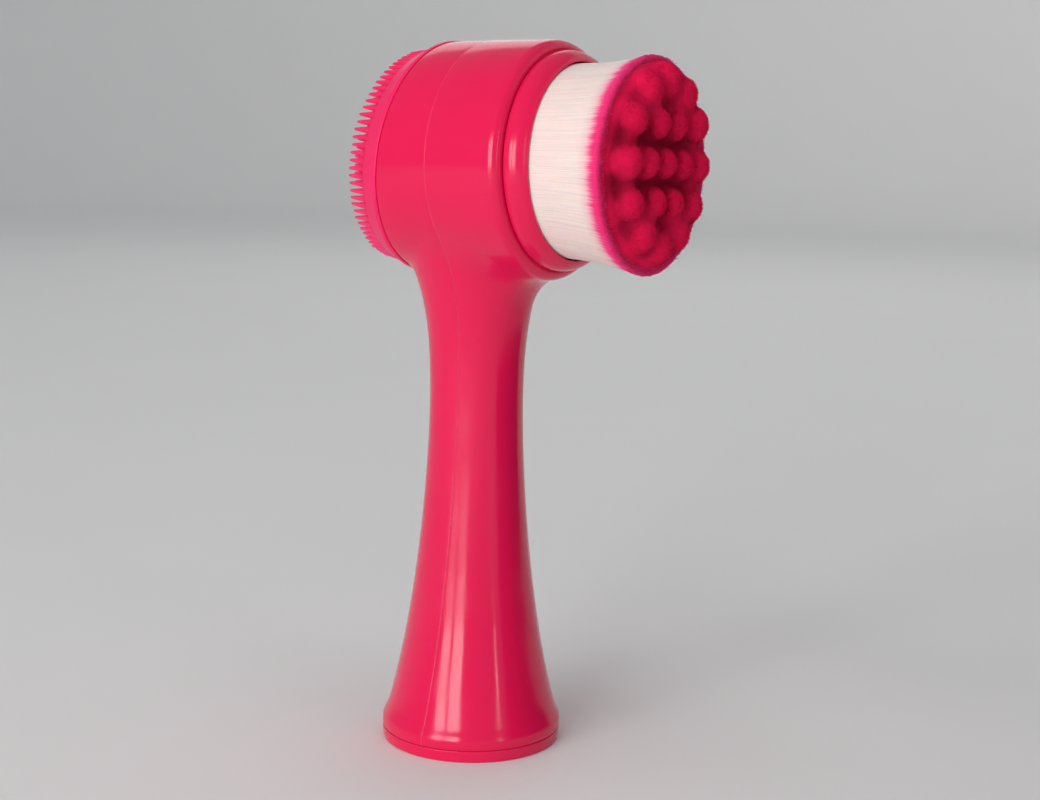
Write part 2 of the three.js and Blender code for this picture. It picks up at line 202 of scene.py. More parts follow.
def grid(points, wrap_rows=False, wrap_columns=False):
    """Vertices and outward quads of one or many grids.

    points is (rows, columns, 3) or (copies, rows, columns, 3). Quad (i, j) joins rows i and i + 1 and columns
    j and j + 1. The quads are turned over if their sum of a . (b x c), six times the volume, is negative.
    """
    points = np.asarray(points, float)
    if points.ndim == 3:
        points = points[None]
    copies, rows, columns, _ = points.shape
    i = np.arange(rows if wrap_rows else rows - 1)[:, None]
    j = np.arange(columns if wrap_columns else columns - 1)[None, :]
    following = (i + 1) % rows
    beside = (j + 1) % columns
    corners = [i * columns + j, i * columns + beside, following * columns + beside, following * columns + j]
    faces = np.stack(corners, -1).reshape(-1, 4)
    first = points[0].reshape(-1, 3)[faces]
    middle = first.mean((0, 1))
    a, b, c, d = np.moveaxis(first - middle, 1, 0)
    volume = (a * np.cross(b, c)).sum() + (a * np.cross(c, d)).sum()
    if volume < 0:
        faces = faces[:, ::-1]
    shift = np.arange(copies)[:, None, None] * rows * columns
    return points.reshape(-1, 3), (faces[None] + shift).reshape(-1, 4)


def make_piece(name, surfaces, sharp=math.radians(40)):
    """One mesh object from [vertices, quads] pairs, with its poles and seams merged."""
    vertices = np.concatenate([v for v, _ in surfaces])
    starts = np.cumsum([0] + [len(v) for v, _ in surfaces[:-1]])
    faces = np.concatenate([f + start for (_, f), start in zip(surfaces, starts)])
    mesh = bpy.data.meshes.new(name)
    mesh.vertices.add(len(vertices))
    mesh.vertices.foreach_set("co", vertices.astype(np.float32).ravel())
    mesh.loops.add(faces.size)
    mesh.loops.foreach_set("vertex_index", faces.astype(np.int32).ravel())
    mesh.polygons.add(len(faces))
    mesh.polygons.foreach_set("loop_start", np.arange(0, faces.size, 4, dtype=np.int32))
    mesh.update(calc_edges=True)
    welded = bmesh.new()
    welded.from_mesh(mesh)
    bmesh.ops.remove_doubles(welded, verts=welded.verts, dist=1e-7)
    welded.to_mesh(mesh)
    welded.free()
    mesh.validate()
    mesh.polygons.foreach_set("use_smooth", np.ones(len(mesh.polygons), bool))
    mesh.set_sharp_from_angle(angle=sharp)
    piece = bpy.data.objects.new(name, mesh)
    bpy.context.scene.collection.objects.link(piece)
    return piece


def soft_corners(corners, steps=5):
    """An outline of [along, radius, rounding, lean] corners, each rounded by a parabola over its rounding."""
    corners = np.asarray(corners, float)
    line = []
    for k, (along, radius, rounding, lean) in enumerate(corners):
        here = np.array([along, radius, lean])
        if rounding == 0 or k in (0, len(corners) - 1):
            line.append(here)
            continue
        before = corners[k - 1][[0, 1, 3]]
        after = corners[k + 1][[0, 1, 3]]
        start = here + (before - here) * rounding / np.linalg.norm((before - here)[:2])
        stop = here + (after - here) * rounding / np.linalg.norm((after - here)[:2])
        t = np.linspace(0, 1, steps)[:, None]
        line.extend((1 - t) ** 2 * start + 2 * t * (1 - t) * here + t**2 * stop)
    return np.array(line)


def round_barrel(outline, segments, barrel_height, spread=None):
    """Each [x, radius, lean] point makes a circle round the barrel's axis that leans forwards at the top.

    The circle is (x + lean r sin a, r cos a, r sin a). spread, if given, is added to every point's radius r.
    """
    angle = np.linspace(0, 2 * np.pi, segments, endpoint=False)
    x, radius, lean = (column[:, None] for column in np.asarray(outline, float).T)
    if spread is not None:
        radius = radius + spread
    up = radius * np.sin(angle)
    return np.stack([x + lean * up, radius * np.cos(angle), barrel_height + up], -1)


def turned(outline, body, segments=360, spread=None):
    """The closed surface that an outline sweeps round the barrel's axis."""
    return grid(round_barrel(outline, segments, body.barrel_height, spread), wrap_columns=True)


def round_handle(outline, segments):
    """Each [height, radius, _] point makes a circle round the handle's axis: (r cos a, r sin a, height)."""
    angle = np.linspace(0, 2 * np.pi, segments, endpoint=False)
    height, radius = (column[:, None] for column in np.asarray(outline, float).T[:2])
    return np.stack([radius * np.cos(angle), radius * np.sin(angle), height + 0 * angle], -1)


def arc(x, radius, size, start, stop, lean=0.0, steps=10):
    """Corners on a circle about [x, radius], from angle start to stop: 0 points forwards and 90 outwards."""
    turn = np.radians(np.linspace(start, stop, steps))
    return [[x + size * math.cos(a), radius + size * math.sin(a), 0, lean] for a in turn]


def fibres(roots, directions, lengths, thickness, droop):
    """Closed three-sided fibres with the centre line root + direction length t + droop t^2, for t 0 to 1.

    The radius keeps its size for most of the length and closes to a point at the tip.
    """
    along = np.array([0, 0, 0.35, 0.7, 0.92, 1.0])
    taper = np.array([0, 1.0, 0.95, 0.8, 0.5, 0])
    directions = directions / np.linalg.norm(directions, axis=1, keepdims=True)
    across = np.cross(directions, [0.31, 0.74, 0.59])
    across /= np.linalg.norm(across, axis=1, keepdims=True)
    beside = np.cross(directions, across)
    turn = 2 * np.pi * np.arange(3) / 3
    side = across[:, None] * np.cos(turn)[None, :, None] + beside[:, None] * np.sin(turn)[None, :, None]
    reach = lengths[:, None] * along
    centre = roots[:, None] + directions[:, None] * reach[..., None]
    centre = centre + droop[:, None] * (along**2)[None, :, None]
    radius = (thickness[:, None] * taper)[..., None, None]
    return grid(centre[:, :, None] + side[:, None] * radius, wrap_columns=True)


def smooth_noise(random, counts):
    """Soft random values for counts of rows, columns and random values in a row, blended by 3 t^2 - 2 t^3."""
    rows, columns, rough = counts
    coarse = random.normal(size=(rows, rough))
    where = np.linspace(0, rough, columns, endpoint=False)
    low = np.floor(where).astype(int)
    share = where - low
    share = share * share * (3 - 2 * share)
    return coarse[:, low % rough] * (1 - share) + coarse[:, (low + 1) % rough] * share


# ---- finishes ----


class Socket:
    """A shader socket: arithmetic on it adds Math nodes."""

    def __init__(self, finish, socket):
        self.finish = finish
        self.socket = socket

    def _math(self, operation, first, second):
        return self.finish.node("ShaderNodeMath", {"operation": operation}, {0: first, 1: second})

    def __add__(self, other):
        return self._math("ADD", self, other)

    def __radd__(self, other):
        return self._math("ADD", other, self)

    def __sub__(self, other):
        return self._math("SUBTRACT", self, other)

    def __rsub__(self, other):
        return self._math("SUBTRACT", other, self)

    def __mul__(self, other):
        return self._math("MULTIPLY", self, other)

    def __rmul__(self, other):
        return self._math("MULTIPLY", other, self)

    def __truediv__(self, other):
        return self._math("DIVIDE", self, other)

    def __rtruediv__(self, other):
        return self._math("DIVIDE", other, self)

    def __pow__(self, other):
        return self._math("POWER", self, other)

    def __abs__(self):
        return self.finish.node("ShaderNodeMath", {"operation": "ABSOLUTE"}, {0: self})


class Finish:
    """A node material. node() adds one node, and the other methods name what the finishes share."""

    def __init__(self, name):
        self.material = bpy.data.materials.new(name)
        self.material.use_nodes = True
        self.tree = self.material.node_tree
        self.tree.nodes.clear()
        self.place = self.node("ShaderNodeTexCoord", output="Object")

    def node(self, kind, settings=None, inputs=None, output=0):
        made = self.tree.nodes.new(kind)
        for key, value in (settings or {}).items():
            setattr(made, key, value)
        for key, value in (inputs or {}).items():
            if isinstance(value, Socket):
                self.tree.links.new(value.socket, made.inputs[key])
            else:
                made.inputs[key].default_value = value
        return Socket(self, made.outputs[output]) if len(made.outputs) else made

    def axis(self, vector, name):
        return self.node("ShaderNodeSeparateXYZ", inputs={0: vector}, output=name)

    def vector(self, x, y, z):
        return self.node("ShaderNodeCombineXYZ", inputs={0: x, 1: y, 2: z})

    def noise(self, vector, scale, detail=2.0, roughness=0.5):
        inputs = {"Vector": vector, "Scale": scale, "Detail": detail, "Roughness": roughness}
        return self.node("ShaderNodeTexNoise", {"noise_dimensions": "3D"}, inputs, "Fac")

    def step(self, value, start, stop):
        """0 below start, 1 above stop and a smooth rise between them."""
        settings = {"interpolation_type": "SMOOTHSTEP"}
        return self.node("ShaderNodeMapRange", settings, {0: value, 1: start, 2: stop, 3: 0.0, 4: 1.0})

    def mix(self, factor, first, second):
        first, second = (c if isinstance(c, Socket) else (*c, 1) for c in (first, second))
        return self.node("ShaderNodeMix", {"data_type": "RGBA"}, {0: factor, 6: first, 7: second}, 2)

    def bump(self, height, distance, strength=1.0, normal=None):
        inputs = {"Height": height, "Distance": distance, "Strength": strength}
        if normal is not None:
            inputs["Normal"] = normal
        return self.node("ShaderNodeBump", inputs=inputs)

    def surface(self, **inputs):
        """Ends the material with a Principled shader. Underscores in a name stand for spaces."""
        named = {key.replace("_", " "): value for key, value in inputs.items()}
        for key, value in named.items():
            if isinstance(value, tuple) and len(value) == 3 and "Color" in key:
                named[key] = (*value, 1)
        shader = self.node("ShaderNodeBsdfPrincipled", inputs=named)
        self.node("ShaderNodeOutputMaterial", inputs={"Surface": shader})
        return self.material


def scaled(shade, factor):
    """A colour made lighter or darker."""
    return tuple(min(1.0, c * factor) for c in shade)


def glossy_plastic(name, shade, body, parted=False):
    """Moulded, polished plastic: faint orange peel, soft sink marks and smudges that dull the gloss.

    A parted moulding also has a pale line along the parting plane, a painted highlight on its rounded edge.
    """
    finish = Finish(name)
    place = finish.place
    peel = finish.noise(place, 520, 2)
    sink = finish.noise(place, 48, 1)
    smudge = finish.noise(place, 95, 5, 0.62)
    cloud = finish.noise(place, 30, 3)
    wear = finish.step(finish.noise(place, 900, 4, 0.7), 0.66, 0.76)
    tone = finish.mix(cloud, scaled(shade, 0.95), scaled(shade, 1.05))
    tone = finish.mix(wear * 0.04, tone, SCUFF)
    rough = 0.12 + finish.step(smudge, 0.42, 0.72) * 0.09 + wear * 0.08
    if parted:
        x = finish.axis(place, "X")
        z = finish.axis(place, "Z")
        slope = (body.parting_head_x - body.parting_base_x) / body.barrel_height
        from_seam = abs(x - (z * slope + body.parting_base_x))
        # painted highlight along the parting plane's rounded edge; the added roughness is the moulding's own
        line = 1 - finish.step(from_seam, 0.05 * MM, 0.22 * MM)
        tone = finish.mix(line * 0.16, tone, PAINTED_PARTING_HIGHLIGHT)
        rough = rough + line * 0.12
    waves = finish.bump(sink, 0.55 * MM, 0.6)
    normal = finish.bump(peel, 0.012 * MM, 0.6, waves)
    return finish.surface(
        Base_Color=tone,
        Roughness=rough,
        Normal=normal,
        IOR=1.5,
        Specular_IOR_Level=0.38,
    )


def soft_silicone(name, shade, pad, seam_x):
    """Matte silicone that pales towards the nub tips, with a fine grain and a little dust."""
    finish = Finish(name)
    place = finish.place
    grain = finish.noise(place, 2600, 2)
    cloud = finish.noise(place, 70, 4)
    dust = finish.step(finish.noise(place, 1500, 3, 0.7), 0.64, 0.74)
    face_x = seam_x - pad.depth
    out = finish.step(finish.axis(place, "X"), face_x, face_x - pad.nub_length)
    tone = finish.mix(cloud, scaled(shade, 0.94), scaled(shade, 1.06))
    tone = finish.mix(out * 0.55, tone, NUB_TIP)
    tone = finish.mix(dust * 0.10, tone, DUST)
    rough = 0.36 + cloud * 0.10 + dust * 0.15
    return finish.surface(
        Base_Color=tone,
        Roughness=rough,
        Normal=finish.bump(grain, 0.015 * MM, 0.5),
        Subsurface_Weight=0.25,
        Subsurface_Radius=(1.0, 0.25, 0.3),
        Subsurface_Scale=1.2 * MM,
        IOR=1.42,
        Specular_IOR_Level=0.35,
    )


def brush_fibres(name, pale, dyed, head, barrel_height):
    """Fine fibres along the barrel: streaked, pale shanks, dyed tips, and a feathery, brighter line between.

    The streaks are noise on the direction from the axis, so they run along x.
    """
    finish = Finish(name)
    x = finish.axis(finish.place, "X")
    y = finish.axis(finish.place, "Y")
    up = finish.axis(finish.place, "Z") - barrel_height
    radius = (y * y + up * up) ** 0.5 + 1e-5
    cosine = y / radius
    sine = up / radius
    fine = finish.noise(finish.vector(cosine * 210, sine * 210, x * 60), 1.0, 2)
    coarse = finish.noise(finish.vector(cosine * 26, sine * 26, x * 30), 1.0, 3)
    feather = finish.noise(finish.vector(cosine * 120, sine * 120, x * 90), 1.0, 3, 0.6)
    edge = x + (feather - 0.5) * (3.6 * MM) + (coarse - 0.5) * (1.6 * MM)
    blush = finish.step(edge, head.dye_x - 3.2 * MM, head.dye_x + 0.6 * MM)
    dye = finish.step(edge, head.dye_x - 1.2 * MM, head.dye_x + 1.2 * MM)
    # painted shade: the dyed tips darken towards the inside of the rim
    inner_shade = finish.step(radius, head.rim_radius - 0.8 * MM, head.rim_radius - 2.4 * MM)
    shank = finish.mix(finish.step(fine, 0.34, 0.66), scaled(pale, 0.93), scaled(pale, 1.05))
    shank = finish.mix(finish.step(coarse, 0.45, 0.8) * 0.4, shank, scaled(pale, 0.84))
    shank = finish.mix(blush * 0.65, shank, BLUSH)
    bleed = finish.step(edge, head.dye_x + 3.6 * MM, head.dye_x + 1.4 * MM)
    tip = finish.mix(fine, dyed, LIT_TIP)
    tip = finish.mix(bleed * 0.75, tip, BLEED)
    # painted shade on the inside of the rim
    tip = finish.mix(inner_shade * 0.4, tip, scaled(dyed, 0.85))
    tone = finish.mix(dye, shank, tip)
    normal = finish.bump(fine, 0.06 * MM, 0.7)
    return finish.surface(
        Base_Color=tone,
        Roughness=0.55 + dye * 0.25,
        Normal=normal,
        Subsurface_Weight=0.45,
        Subsurface_Radius=(1.0, 0.12, 0.25),
        Subsurface_Scale=2.5 * MM,
        Specular_IOR_Level=0.25,
    )


def velvet_tips(name, dyed, head, barrel_height):
    """Dense, dyed fibre ends with a velvet grain: painted shade in the valleys, lighter on the crowns, and
    painted light on the rim.
    """
    finish = Finish(name)
    place = finish.place
    grain = finish.noise(place, 5200, 2)
    tuft = finish.noise(place, 900, 3)
    soft = finish.noise(place, 420, 2)
    x = finish.axis(place, "X") + (soft - 0.5) * (0.8 * MM)
    y = finish.axis(place, "Y")
    up = finish.axis(place, "Z") - (barrel_height - head.droop)
    radius = (y * y + up * up) ** 0.5 + (soft - 0.5) * (1.0 * MM)
    # crown is 0 low in the valleys, which get painted shade, and 1 on the domes' tips
    crown = finish.step(x, head.rim_x + 0.1 * MM, head.rim_x + 4.2 * MM)
    # painted light: rim brightens the outer band of the face, for light that comes through the fibres there
    rim = finish.step(radius, head.rim_radius - 5.4 * MM, head.rim_radius - 2.4 * MM)
    tone = finish.mix(crown, PAINTED_VALLEY_SHADE, scaled(dyed, 1.05))
    tone = finish.mix(rim * (1 - crown * 0.5), tone, scaled(dyed, 1.12))
    tone = finish.mix(tuft * 0.25, tone, scaled(dyed, 0.75))
    tone = finish.mix(finish.step(grain, 0.45, 0.75) * 0.16, tone, VELVET)
    return finish.surface(
        Base_Color=tone,
        Roughness=0.9,
        Normal=finish.bump(grain, 0.12 * MM, 0.8),
        Sheen_Weight=0.05,
        Sheen_Roughness=0.4,
        Sheen_Tint=(1.0, 0.12, 0.26, 1),
        Specular_IOR_Level=0.08,
    )


def cured_resin(name):
    """Cloudy, honey-coloured resin with trapped bubbles."""
    finish = Finish(name)
    cloud = finish.noise(finish.place, 160, 4)
    bubbles = finish.step(finish.noise(finish.place, 1400, 2), 0.62, 0.7)
    tone = finish.mix(cloud, (0.70, 0.58, 0.40), (0.86, 0.78, 0.62))
    tone = finish.mix(bubbles * 0.5, tone, (0.95, 0.92, 0.84))
    return finish.surface(
        Base_Color=tone,
        Roughness=0.25 + cloud * 0.2,
        Normal=finish.bump(bubbles, 0.05 * MM, 0.4),
    )


def studio_floor(name, shade):
    """A matte, pale sweep with a faint mottle."""
    finish = Finish(name)
    mottle = finish.noise(finish.place, 9, 3)
    tone = finish.mix(mottle, scaled(shade, 0.985), scaled(shade, 1.015))
    return finish.surface(Base_Color=tone, Roughness=0.9 + mottle * 0.05)


# ---- the pieces ----


def parting_x(body, height):
    """The parting plane's x, which rises in a straight line with the height."""
    return body.parting_base_x + (body.parting_head_x - body.parting_base_x) * height / body.barrel_height


def handle_radius(body, height):
    """A falling and a rising exponential on the waist, and a short bell at the foot, up to the foot's radius.

    The limit is the soft minimum -s ln(e^(-r/s) + e^(-limit/s)).
    """
    mm = height / MM
    flares = FOOT_FLARE * np.exp(-mm / FOOT_FALL) + NECK_FLARE * np.exp((mm - NECK_HEIGHT) / NECK_RISE)
    foot = WAIST + flares + BELL * np.exp(-(((mm - BELL_HEIGHT) / BELL_HEIGHT) ** 2))
    limit = body.foot_radius / MM
    softness = 0.2
    return -softness * np.logaddexp(-foot / softness, -limit / softness) * MM


def rise_to(value):
    """0 below 0, 1 above 1, and 3 t^2 - 2 t^3 between."""
    value = np.clip(value, 0, 1)
    return value * value * (3 - 2 * value)


def handle_surface(body, angle, level):
    """A point of the handle's outside: level 0 to 1 goes up the handle, and 1 to 2 through the fillet.

    The handle is a circle of the handle's radius at every height. Halving finds the height where it meets the
    barrel. The fillet is a cubic curve that leaves the handle below that height and lies along the barrel
    beyond it. It reaches further at the front than at the back.
    """
    cosine = np.cos(angle)
    sine = np.sin(angle)
    low = np.full(angle.shape, 90 * MM)
    high = np.full(angle.shape, 122 * MM)
    for _ in range(24):
        middle = (low + high) / 2
        across = np.minimum(np.abs(handle_radius(body, middle) * sine), body.barrel_radius)
        inside = middle > body.barrel_height - np.sqrt(body.barrel_radius**2 - across**2)
        low = np.where(inside, low, middle)
        high = np.where(inside, middle, high)
    meeting_radius = handle_radius(body, high)

    room = (body.lip_x - body.lip_rounding - 0.5 * MM - meeting_radius * cosine) / np.maximum(cosine, 0.05)
    reach = FILLET_LEAST + np.minimum(FILLET_FRONT * rise_to((cosine + 0.2) / 0.9), np.maximum(room, 0))
    top = high - 1.2 * MM - 1.05 * reach
    foot = body.cap_height + 2 * body.seam
    height = foot + (top - foot) * np.clip(level, 0, 1)
    radius = handle_radius(body, height)
    circle = np.stack([radius * cosine, radius * sine, height], -1)

    start_radius = handle_radius(body, top)
    slope = (handle_radius(body, top + 0.1 * MM) - start_radius) / (0.1 * MM)
    start = np.stack([start_radius * cosine, start_radius * sine, top], -1)
    leave = np.stack([slope * cosine, slope * sine, 1 + 0 * angle], -1)
    leave /= np.linalg.norm(leave, axis=-1, keepdims=True)
    stop_radius = meeting_radius + reach
    stop_x = stop_radius * cosine
    across = stop_radius * sine
    barrel = body.barrel_radius - np.where(stop_x < body.parting_head_x, body.barrel_step, 0) - 0.03 * MM
    drop = np.sqrt(barrel**2 - across**2)
    stop = np.stack([stop_x, across, body.barrel_height - drop], -1)
    arrive = np.stack([cosine, sine, sine * across / drop], -1)
    arrive /= np.linalg.norm(arrive, axis=-1, keepdims=True)
    first = start + leave * (FILLET_PULL * (high - top))[..., None]
    second = stop - arrive * (FILLET_PULL * reach)[..., None]
    t = np.clip(level - 1, 0, 1)[..., None]
    curve = (1 - t) ** 3 * start + 3 * (1 - t) ** 2 * t * first + 3 * (1 - t) * t**2 * second + t**3 * stop
    return np.where((level > 1)[..., None], curve, circle)


def half_handle(body, side):
    """One half of the hollow handle and neck: two skins, joined at the parting plane and at both ends.

    side is 1 for the brush side and -1 for the pad side. Each row starts and ends where the outside meets the
    parting plane, found on a fine sweep of angles, and its edges turn in over the moulding's edge rounding.
    """
    levels = np.concatenate([
        np.linspace(0, 0.06, 14)[:-1],
        np.linspace(0.06, 1, 84)[:-1],
        np.linspace(1, 2, 40),
    ])
    sweep = np.linspace(0.2, np.pi - 0.2, 900)
    fan = handle_surface(body, *np.broadcast_arrays(sweep[None, :], levels[:, None]))
    beyond = fan[..., 0] - parting_x(body, fan[..., 2]) - side * body.parting_gap < 0
    at = np.argmax(beyond, axis=1)
    rows = np.arange(len(levels))
    gap = fan[..., 0] - parting_x(body, fan[..., 2]) - side * body.parting_gap
    before = gap[rows, at - 1]
    after = gap[rows, at]
    meet = sweep[at - 1] + (sweep[at] - sweep[at - 1]) * before / (before - after)
    reach = meet if side > 0 else np.pi - meet
    middle = 0 if side > 0 else np.pi

    turn = np.linspace(0, np.pi / 2, 5)
    inward = body.edge * (1 - np.sin(turn))
    girth = np.hypot(fan[:, 450, 0], fan[:, 450, 1])
    edge_angle = (body.edge * (1 - np.cos(turn)))[None, :] / girth[:, None]
    inner_reach = reach - edge_angle[:, -1]
    share = np.linspace(-1, 1, 121)[1:-1]
    turned_in = reach[:, None] - edge_angle
    angles = np.concatenate([-turned_in, share * inner_reach[:, None], turned_in[:, ::-1]], 1)
    inset = np.concatenate([inward, 0 * share, inward[::-1]])
    angles = angles + middle
    outer = handle_surface(body, *np.broadcast_arrays(angles, levels[:, None]))
    radial = np.stack([np.cos(angles), np.sin(angles), 0 * angles], -1)
    foot = body.cap_height + 2 * body.seam
    rise = np.clip(outer[..., 2] - foot, 0, body.edge * 2) / (body.edge * 2)
    foot_inset = body.edge * 2 * (1 - np.sqrt(1 - (1 - rise) ** 2))
    outer = outer - radial * (inset[None, :, None] + foot_inset[..., None])
    inner = outer - radial * body.wall
    limit = parting_x(body, inner[..., 2]) + side * body.parting_gap
    keep = np.maximum if side > 0 else np.minimum
    inner[..., 0] = keep(inner[..., 0], limit)
    outer[..., 0] = keep(outer[..., 0], parting_x(body, outer[..., 2]) + side * body.parting_gap)
    loop = np.concatenate([outer, inner[:, ::-1]], 1)
    ends = (outer + inner) / 2
    closed = np.concatenate([ends, ends[:, ::-1]], 1)
    ring = np.concatenate([closed[:1], loop, closed[-1:]])
    return grid(ring, wrap_columns=True)


def barrel_front(body):
    """The front of the barrel: the socket's floor and wall, the lip, the outside and the bulkhead."""
    slope = (body.parting_head_x - body.parting_base_x) / body.barrel_height
    seam_x = body.parting_head_x + body.parting_gap
    lip = body.lip_rounding
    radius = body.barrel_radius
    socket = radius - SOCKET_WALL
    floor_x = cup_low.x - SOCKET_PLAY
    lip_arc = arc(body.lip_x - lip, radius - lip, lip, 0, 90)
    outline = soft_corners([
        [floor_x, 0, 0, 0],
        [floor_x, socket, 0.4 * MM, 0],
        [body.lip_x - 0.5 * MM, socket, 0.2 * MM, 0],
        [body.lip_x, socket + 0.25 * MM, 0.1 * MM, 0],
        *lip_arc,
        [seam_x + 6 * MM, radius, 0, slope],
        [seam_x, radius, body.edge, slope],
        [seam_x, socket, 0.2 * MM, slope],
        [floor_x - BULKHEAD, socket, 0.2 * MM, 0],
        [floor_x - BULKHEAD, 0, 0, 0],
    ])
    return turned(outline, body)


def barrel_rear(body, pad):
    """The rear of the barrel: the pad's recess, the leaning edge, the outside and the parting plane."""
    slope = (body.parting_head_x - body.parting_base_x) / body.barrel_height
    lean = math.tan(body.pad_lean)
    seam_x = body.parting_head_x - body.parting_gap
    radius = body.barrel_radius - body.barrel_step
    floor_x = body.pad_x + pad.recess_depth
    outline = soft_corners([
        [floor_x, 0, 0, lean],
        [floor_x, pad.recess_radius, 0.4 * MM, lean],
        [body.pad_x + body.seam, pad.recess_radius, 0.2 * MM, lean],
        [body.pad_x + body.seam, radius - 0.12 * MM, 0.3 * MM, lean],
        [body.pad_x + 4 * MM, radius, 0, lean],
        [seam_x - 2 * MM, radius, 0, slope],
        [seam_x, radius, body.edge, slope],
        [seam_x, radius - RECESS_WALL, 0.2 * MM, slope],
        [floor_x + BULKHEAD, radius - RECESS_WALL, 0.2 * MM, lean],
        [floor_x + BULKHEAD, 0, 0, lean],
    ])
    return turned(outline, body)


def finish_piece(piece, body_name, slot, material, *replaced):
    """Gives a piece its material and its body, and hides the CAD nodes that it stands in for; slot is not
    used.
    """
    piece.data.materials.append(material)
    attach(piece, body_name)
    if replaced:
        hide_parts(*replaced)


class BRUSH_OT_half_shells(bpy.types.Operator):
    """Build the two half shells of the handle and barrel"""

    bl_idname = "cleansing_brush.half_shells"
    bl_label = "Half Shells"

    def execute(self, context):
        scene = context.scene
        body = scene.brush_body
        material = glossy_plastic("glossy_shell", scene.brush_finishes.plastic, body, parted=True)
        front = make_piece("front_half", [half_handle(body, 1), barrel_front(body)])
        rear = make_piece("rear_half", [half_handle(body, -1), barrel_rear(body, scene.brush_pad)])
        finish_piece(front, "body", "shell_plastic", material, "front_shell")
        finish_piece(rear, "body", "shell_plastic", material, "rear_shell")
        return {"FINISHED"}


class BRUSH_OT_base_cap(bpy.types.Operator):
    """Build the cap that closes the foot"""

    bl_idname = "cleansing_brush.base_cap"
    bl_label = "Base Cap"

    def execute(self, context):
        scene = context.scene
        body = scene.brush_body
        top = body.cap_height - body.seam
        skirt = cap_high.y - CAP_STEP
        outline = soft_corners([
            [0, 0, 0, 0],
            [0, body.foot_radius - 0.25 * MM, 0.45 * MM, 0],
            [top, body.foot_radius, 0.3 * MM, 0],
            [top, skirt, 0.15 * MM, 0],
            [cap_high.z, skirt, 0.3 * MM, 0],
            [cap_high.z, skirt - CAP_SKIRT, 0.3 * MM, 0],
            [top - CAP_PLATE, skirt - CAP_SKIRT, 0.3 * MM, 0],
            [top - CAP_PLATE, 0, 0, 0],
        ])
        cap = make_piece("foot_cap", [grid(round_handle(outline, 288), wrap_columns=True)])
        material = glossy_plastic("glossy_cap", scene.brush_finishes.plastic, body)
        finish_piece(cap, "body", "shell_plastic", material, "base_cap")
        return {"FINISHED"}


class BRUSH_OT_brush_cup(bpy.types.Operator):
    """Build the cup that holds the fibres, with its rounded collar and press-fit ribs"""

    bl_idname = "cleansing_brush.brush_cup"
    bl_label = "Brush Cup"

    def execute(self, context):
        scene = context.scene
        body, head = scene.brush_body, scene.brush_head
        segments = 360
        back = cup_low.x
        shoulder = body.lip_x + CUP_SHOULDER
        spigot = body.barrel_radius - SPIGOT_STEP
        crest_x = shoulder + 0.9 * MM
        mouth = arc(crest_x, head.collar_radius - CUP_BEAD, CUP_BEAD, 24, 104, steps=22)
        outline = soft_corners([
            [back + CUP_FLOOR, 0, 0, 0],
            [back + CUP_FLOOR, CUP_BORE, 0.5 * MM, 0],
            [mouth[0][0] - 1.2 * MM, mouth[0][1] - 0.25 * MM, 0.2 * MM, 0],
            *mouth,
            [shoulder, head.collar_radius - 0.5 * MM, 0.2 * MM, 0],
            [shoulder, spigot, 0.2 * MM, 0],
            [back, spigot, 0.6 * MM, 0],
            [back, 0, 0, 0],
        ])
        angle = np.linspace(0, 2 * np.pi, segments, endpoint=False)
        on_spigot = (np.abs(outline[:, 1] - spigot) < 0.05 * MM) & (outline[:, 0] < shoulder - 1 * MM)
        ribs = np.maximum(0, np.cos(RIB_COUNT * (angle - RIB_TURN))) ** 40 * RIB_HEIGHT
        spread = on_spigot[:, None] * ribs
        cup = make_piece("fibre_cup", [turned(outline, body, segments, spread)])
        material = glossy_plastic("glossy_cup", scene.brush_finishes.plastic, body)
        finish_piece(cup, "brush_head", "cup_plastic", material, "brush_cup")
        return {"FINISHED"}


def hang(head, x):
    """How far the fibres hang at x: nothing at the cup's mouth, and the whole droop at their tips."""
    return -head.droop * rise_to((x - head.collar_x) / (head.rim_x - head.collar_x))


def skirt_radius(head, x):
    """The bundle's outside: nearly straight out of the cup, and flared towards the rim."""
    share = np.clip((x - head.collar_x) / (head.rim_x - head.collar_x), 0, 1)
    root = head.collar_radius - FIBRE_INSET
    return root + (head.rim_radius - root) * (0.2 * share + 0.8 * share**2.3)


def dome_places(head):
    """Each cluster node with its dome's centre and radius, as [node, x, y, z, radius] rows.

    The domes keep their nodes' order. Each ring is squeezed into the oval in which its fibres settle, and the
    whole pattern is turned and raised a little.
    """
    cosine = math.cos(head.pattern_turn)
    sine = math.sin(head.pattern_turn)
    # least distance from the axis, share of it across, share of it up, and dome radius
    rings = (
        (0 * MM, 1, 1, head.inner_dome),
        (5 * MM, 0.925, 1.08, head.inner_dome),
        (12 * MM, 0.945, 0.985, head.outer_dome),
    )
    places = []
    for node in CLUSTERS:
        low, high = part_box(node)
        middle = (low + high) / 2
        distance = math.hypot(middle.y, middle.z - BARREL_AXIS)
        _, across_share, up_share, radius = [ring for ring in rings if ring[0] <= distance][-1]
        across = middle.y * across_share
        up = (middle.z - BARREL_AXIS) * up_share * head.pattern_stretch
        crown = 0.4 * MM * (1 - distance / head.rim_radius)
        places.append([
            node,
            high.x - radius * DOME_HEIGHT + crown,
            across * cosine - up * sine,
            across * sine + up * cosine + BARREL_AXIS + head.pattern_rise - head.droop,
            radius,
        ])
    return places


